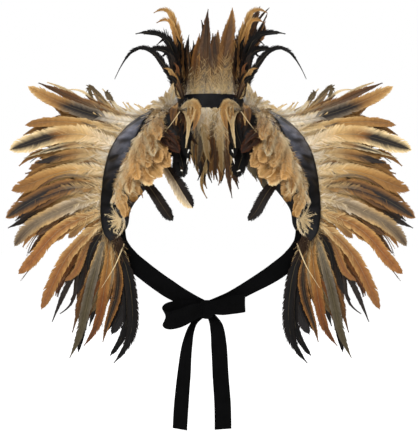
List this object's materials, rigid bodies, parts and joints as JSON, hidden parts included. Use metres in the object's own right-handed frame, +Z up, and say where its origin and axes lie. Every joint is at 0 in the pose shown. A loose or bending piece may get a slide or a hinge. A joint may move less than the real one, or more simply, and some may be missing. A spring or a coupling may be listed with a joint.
{
  "type": "feather cape garment",
  "caption": "Shoulder cape garment of rooster feathers on black satin-edged yokes, with a standing feather collar, wide feather wings and velvet ribbon ties in a bow.",
  "frame": {"origin": "middle of the base of the neck opening, where the wearer's shoulders carry the cape", "axes": "+Z up, -Y towards the front of the wearer, +X to the right of the front view"},
  "size_m": [0.728, 0.2534, 0.7593],
  "materials": {
    "satin": "black satin, softly shiny, creased",
    "lining_cloth": "matt black woven cloth",
    "velvet_ribbon": "black velvet, very dull",
    "feather_tan": "tan feather with cream base and brown edges",
    "feather_cream": "pale downy feather",
    "feather_brown": "brown feather with dark tip",
    "feather_dark": "near-black feather with green-brown sheen"
  },
  "bodies": {
    "root": {"neck_band": "satin", "yoke_front_left": "lining_cloth", "yoke_front_right": "lining_cloth", "yoke_back_left": "lining_cloth", "yoke_back_right": "lining_cloth", "band_front_left": "satin", "band_front_right": "satin", "band_back_left": "satin", "band_back_right": "satin", "wing_front_left": "feather_tan", "wing_front_right": "feather_tan", "wing_middle_left": "feather_brown", "wing_middle_right": "feather_brown", "wing_inner_left": "feather_cream", "wing_inner_right": "feather_cream", "wing_lower_left": "feather_dark", "wing_lower_right": "feather_dark", "wing_back_inner_left": "feather_brown", "wing_back_inner_right": "feather_brown", "wing_back_left": "feather_tan", "wing_back_right": "feather_tan", "chest_low_left": "feather_dark", "chest_low_right": "feather_dark", "chest_middle_left": "feather_tan", "chest_middle_right": "feather_tan", "chest_high_left": "feather_tan", "chest_high_right": "feather_tan", "neck_curls_left": "feather_tan", "neck_curls_right": "feather_tan", "shoulder_fluff_left": "feather_cream", "shoulder_fluff_right": "feather_cream", "collar_inner": "feather_brown", "collar_outer": "feather_tan", "collar_left": "feather_dark", "collar_right": "feather_dark", "nape_inner": "feather_cream", "nape_outer": "feather_tan", "ribbon_strap_left": "velvet_ribbon", "ribbon_strap_right": "velvet_ribbon", "bow_loop_left": "velvet_ribbon", "bow_loop_right": "velvet_ribbon", "ribbon_tail_left": "velvet_ribbon", "ribbon_tail_right": "velvet_ribbon", "bow_knot": "velvet_ribbon"}
  },
  "joints": []
}
